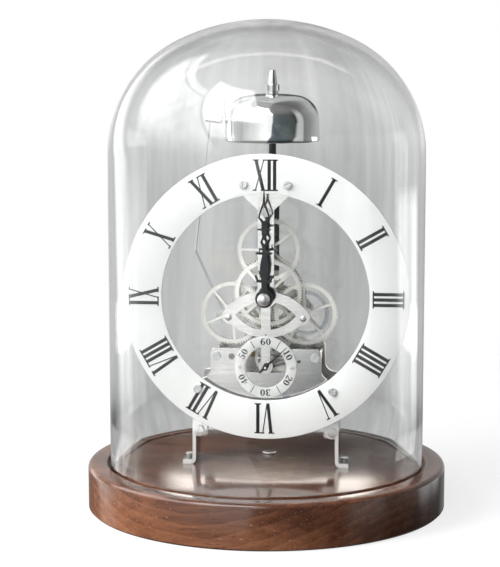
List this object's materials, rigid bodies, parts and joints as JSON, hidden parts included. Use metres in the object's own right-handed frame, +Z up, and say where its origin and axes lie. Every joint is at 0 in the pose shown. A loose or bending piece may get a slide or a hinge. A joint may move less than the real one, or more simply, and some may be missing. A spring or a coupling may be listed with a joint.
{
  "type": "mechanical desk clock",
  "caption": "Skeleton desk clock: pierced chapter ring and open striking movement on bent legs under a lift-off glass dome, on a round walnut base with a felt underside.",
  "frame": {"origin": "middle of the base's underside, on the felt", "axes": "+Z up through the middle of the dome, the dial faces -Y, +X to the viewer's right"},
  "size_m": [0.2, 0.2, 0.2715],
  "materials": {
    "walnut": "satin lacquered walnut",
    "felt": "dark felt",
    "clear_glass": "clear blown glass",
    "polished_nickel": "polished nickel plate",
    "chrome_trim": "bright chrome",
    "dial_white": "silvered white enamel",
    "hand_black": "blackened steel",
    "nickel_wheel": "nickel-plated brass",
    "bare_brass": "polished brass",
    "steel": "turned steel",
    "spring_steel": "blued spring steel"
  },
  "bodies": {
    "case": {"base_plinth": "walnut", "felt_pad": "felt", "base_stud": "chrome_trim", "left_leg": "chrome_trim", "right_leg": "chrome_trim", "leg_screws": "chrome_trim", "foot_screws": "chrome_trim", "front_plate": "polished_nickel", "back_plate": "polished_nickel", "pillars": "nickel_wheel", "pillar_screws": "chrome_trim", "chapter_ring": "dial_white", "ring_standoffs": "steel", "ring_screws": "chrome_trim", "seconds_ring": "dial_white", "seconds_rivets": "chrome_trim", "bell": "chrome_trim", "bell_post": "hand_black", "bell_nut": "chrome_trim", "post_screws": "steel", "hammer_stud": "steel", "click_stud": "steel", "escape_bridge": "polished_nickel", "hairspring": "spring_steel", "balance_cock": "polished_nickel", "bridge_screws": "steel"},
    "dome": {"glass_dome": "clear_glass"},
    "minute": {"centre_arbor": "steel", "cannon_pinion": "nickel_wheel", "centre_wheel": "nickel_wheel", "minute_hand": "hand_black", "hand_nut": "chrome_trim", "setting_knob": "bare_brass"},
    "hour": {"hour_pipe": "nickel_wheel", "hour_wheel": "nickel_wheel", "hour_hand": "hand_black"},
    "motion": {"minute_wheel": "nickel_wheel", "minute_arbor": "steel"},
    "strike": {"strike_wheel": "nickel_wheel", "strike_arbor": "steel"},
    "intermediate": {"intermediate_wheel": "nickel_wheel", "intermediate_arbor": "steel"},
    "drive": {"drive_wheel": "nickel_wheel", "drive_arbor": "steel"},
    "barrel": {"mainspring_barrel": "nickel_wheel", "barrel_cover": "nickel_wheel", "mainspring": "spring_steel"},
    "winding": {"barrel_arbor": "steel", "ratchet_wheel": "steel"},
    "click_arm": {"click": "steel"},
    "third": {"third_wheel": "nickel_wheel"},
    "fourth": {"fourth_wheel": "nickel_wheel", "seconds_hand": "hand_black"},
    "escape": {"escape_wheel": "bare_brass"},
    "lever": {"pallet_lever": "steel"},
    "balance": {"balance_wheel": "bare_brass"},
    "hammer_arm": {"hammer": "chrome_trim", "hammer_head": "nickel_wheel"},
    "regulator_arm": {"regulator": "steel"}
  },
  "joints": [
    {"name": "minute_turn", "type": "hinge", "parent": "case", "child": "minute", "pos_m": [0, 0.01, 0.119], "axis": [0, 1, 0], "continuous": true},
    {"name": "hour_turn", "type": "hinge", "parent": "case", "child": "hour", "pos_m": [0, 0.01, 0.119], "axis": [0, 1, 0], "continuous": true},
    {"name": "motion_turn", "type": "hinge", "parent": "case", "child": "motion", "pos_m": [0, 0.01, 0.143], "axis": [0, 1, 0], "continuous": true},
    {"name": "strike_turn", "type": "hinge", "parent": "case", "child": "strike", "pos_m": [-0.02078, 0.01, 0.107], "axis": [0, 1, 0], "continuous": true},
    {"name": "intermediate_turn", "type": "hinge", "parent": "case", "child": "intermediate", "pos_m": [0.02078, 0.01, 0.107], "axis": [0, 1, 0], "continuous": true},
    {"name": "drive_turn", "type": "hinge", "parent": "case", "child": "drive", "pos_m": [0.01498, 0.01, 0.08578], "axis": [0, 1, 0], "continuous": true},
    {"name": "barrel_turn", "type": "hinge", "parent": "case", "child": "barrel", "pos_m": [0.01165, 0.01, 0.06353], "axis": [0, 1, 0], "continuous": true},
    {"name": "third_turn", "type": "hinge", "parent": "case", "child": "third", "pos_m": [0, 0.01, 0.0974], "axis": [0, 1, 0], "continuous": true},
    {"name": "seconds_turn", "type": "hinge", "parent": "case", "child": "fourth", "pos_m": [0, 0.01, 0.0795], "axis": [0, 1, 0], "continuous": true},
    {"name": "escape_turn", "type": "hinge", "parent": "case", "child": "escape", "pos_m": [-0.01027, 0.01, 0.08168], "axis": [0, 1, 0], "continuous": true},
    {"name": "dome_lift", "type": "slide", "parent": "case", "child": "dome", "axis": [0, 0, 1], "range_m": [0, 0.26]},
    {"name": "winding_turn", "type": "hinge", "parent": "case", "child": "winding", "pos_m": [0.01165, 0.01, 0.06353], "axis": [0, 1, 0], "range_deg": [0, 1296]},
    {"name": "click_swing", "type": "hinge", "parent": "case", "child": "click_arm", "pos_m": [0.01915, 0.01, 0.05353], "axis": [0, 1, 0], "range_deg": [-8, 0], "stiffness_Nm_per_rad": 0.0005},
    {"name": "hammer_swing", "type": "hinge", "parent": "case", "child": "hammer_arm", "pos_m": [-0.0275, 0.01, 0.1025], "axis": [0, 1, 0], "range_deg": [-8, 0], "stiffness_Nm_per_rad": 0.004},
    {"name": "lever_rock", "type": "hinge", "parent": "case", "child": "lever", "pos_m": [-0.01197, 0.01, 0.07335], "axis": [0, 1, 0], "range_deg": [-5, 5]},
    {"name": "balance_swing", "type": "hinge", "parent": "case", "child": "balance", "pos_m": [-0.01466, 0.01, 0.06012], "axis": [0, 1, 0], "range_deg": [-120, 120], "stiffness_Nm_per_rad": 0.00004},
    {"name": "regulator_set", "type": "hinge", "parent": "case", "child": "regulator_arm", "pos_m": [-0.01466, 0.01, 0.06012], "axis": [0, 1, 0], "range_deg": [-15, 15]}
  ],
  "couplings": [
    {"joint": "hour_turn", "follows": "minute_turn", "ratio": 0.083333},
    {"joint": "motion_turn", "follows": "minute_turn", "ratio": -0.33333},
    {"joint": "strike_turn", "follows": "minute_turn", "ratio": -0.33333},
    {"joint": "intermediate_turn", "follows": "minute_turn", "ratio": -0.33333},
    {"joint": "drive_turn", "follows": "minute_turn", "ratio": 0.48148},
    {"joint": "barrel_turn", "follows": "minute_turn", "ratio": -0.12037},
    {"joint": "third_turn", "follows": "minute_turn", "ratio": -8},
    {"joint": "seconds_turn", "follows": "minute_turn", "ratio": 60},
    {"joint": "escape_turn", "follows": "minute_turn", "ratio": -360}
  ]
}
